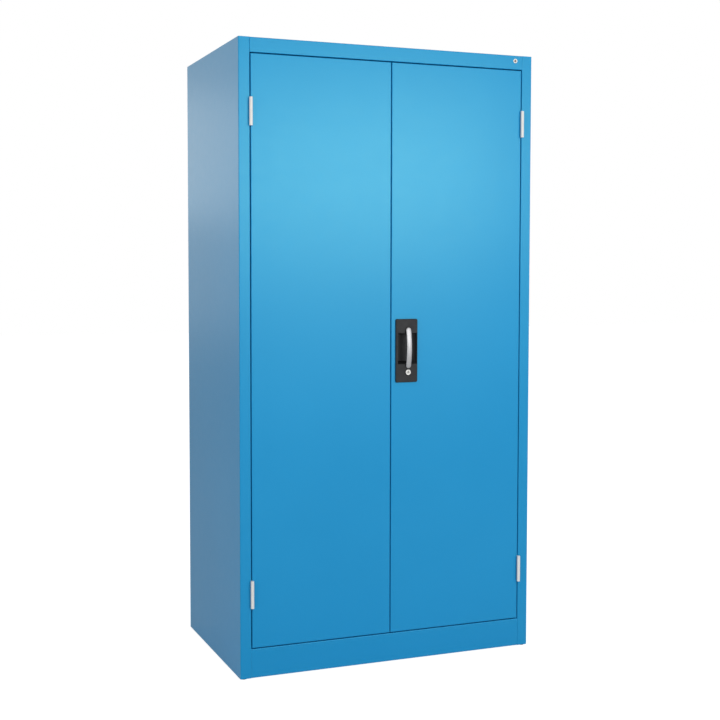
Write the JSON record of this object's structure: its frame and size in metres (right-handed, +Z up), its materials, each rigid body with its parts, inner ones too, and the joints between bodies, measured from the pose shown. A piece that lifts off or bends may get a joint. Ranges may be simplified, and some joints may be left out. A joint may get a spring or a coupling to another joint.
{
  "type": "tool cabinet with doors",
  "caption": "Tall sheet-steel tool cabinet with two hinged doors, a three-point rod lock behind a recessed bow handle, and adjustable shelves.",
  "frame": {"origin": "middle of the footprint, on the floor under the glides", "axes": "+Z up, +X to the right seen from the front, +Y to the back; the doors face -Y"},
  "size_m": [1, 0.6189, 1.95],
  "materials": {
    "body_paint": "light blue powder coat, satin",
    "door_paint": "light blue powder coat, satin",
    "hinge_grey": "light grey, matt",
    "galvanised": "galvanised sheet, satin",
    "zinc_steel": "zinc plated, satin",
    "plate_plastic": "grey-black, fine grained",
    "bow_metal": "satin chrome",
    "lock_nickel": "satin nickel",
    "disc_metal": "plain satin disc",
    "glide_plastic": "black, matt",
    "guide_plastic": "black, matt",
    "buffer_rubber": "black rubber, matt"
  },
  "bodies": {
    "cabinet": {"side_panel_left": "body_paint", "side_panel_right": "body_paint", "roof_panel": "body_paint", "floor_panel": "body_paint", "plinth": "body_paint", "back_panel": "body_paint", "upper_strike": "body_paint", "lower_strike": "body_paint", "corner_plates": "body_paint", "levelling_glides": "glide_plastic", "header_disc": "disc_metal", "door_buffers": "buffer_rubber", "upright_front_left": "galvanised", "upright_front_right": "galvanised", "upright_rear_left": "galvanised", "upright_rear_right": "galvanised", "frame_hinges_left": "hinge_grey", "frame_hinges_right": "hinge_grey", "shelf_1": "galvanised", "shelf_2": "galvanised", "shelf_3": "galvanised", "shelf_4": "galvanised", "shelf_clips_1": "galvanised", "shelf_clips_2": "galvanised", "shelf_clips_3": "galvanised", "shelf_clips_4": "galvanised"},
    "left_door_leaf": {"left_door": "door_paint", "left_stiffener": "door_paint", "tongue_keeper": "door_paint", "door_hinges_left": "hinge_grey"},
    "right_door_leaf": {"right_door": "door_paint", "right_stiffener": "door_paint", "upper_rail": "door_paint", "lower_rail": "door_paint", "rod_guides": "guide_plastic", "handle_plate": "plate_plastic", "lock_base": "zinc_steel", "lock_cover": "zinc_steel", "case_screws": "zinc_steel", "cylinder_housing": "lock_nickel", "cylinder_nut": "zinc_steel", "door_hinges_right": "hinge_grey"},
    "bow_and_pinion": {"bow_handle": "bow_metal", "spindle": "zinc_steel", "drive_pinion": "zinc_steel", "spindle_clip": "zinc_steel"},
    "upper_rod": {"upper_rod": "zinc_steel"},
    "lower_rod": {"lower_rod": "zinc_steel"},
    "tongue": {"centre_tongue": "zinc_steel"},
    "key_plug": {"cylinder_plug": "lock_nickel", "lock_cam": "zinc_steel", "cam_screw": "zinc_steel"}
  },
  "joints": [
    {"name": "left_door_hinge", "type": "hinge", "parent": "cabinet", "child": "left_door_leaf", "pos_m": [-0.4631, -0.307, 0.99], "axis": [0, 0, -1], "range_deg": [0, 180]},
    {"name": "right_door_hinge", "type": "hinge", "parent": "cabinet", "child": "right_door_leaf", "pos_m": [0.4631, -0.307, 0.99], "axis": [0, 0, 1], "range_deg": [0, 180]},
    {"name": "handle_turn", "type": "hinge", "parent": "right_door_leaf", "child": "bow_and_pinion", "pos_m": [0.057, -0.3, 1.0639], "axis": [0, -1, 0], "range_deg": [0, 90]},
    {"name": "upper_rod_slide", "type": "slide", "parent": "right_door_leaf", "child": "upper_rod", "axis": [0, 0, 1], "range_m": [0, 0.0165]},
    {"name": "lower_rod_slide", "type": "slide", "parent": "right_door_leaf", "child": "lower_rod", "axis": [0, 0, -1], "range_m": [0, 0.0165]},
    {"name": "tongue_slide", "type": "slide", "parent": "right_door_leaf", "child": "tongue", "axis": [-1, 0, 0], "range_m": [0, 0.0165]},
    {"name": "key_turn", "type": "hinge", "parent": "right_door_leaf", "child": "key_plug", "pos_m": [0.057, -0.3, 0.9301], "axis": [0, 1, 0], "range_deg": [0, 90]}
  ],
  "couplings": [
    {"joint": "upper_rod_slide", "follows": "handle_turn", "m_per_rad": 0.0105},
    {"joint": "lower_rod_slide", "follows": "handle_turn", "m_per_rad": 0.0105},
    {"joint": "tongue_slide", "follows": "handle_turn", "m_per_rad": 0.0105}
  ]
}
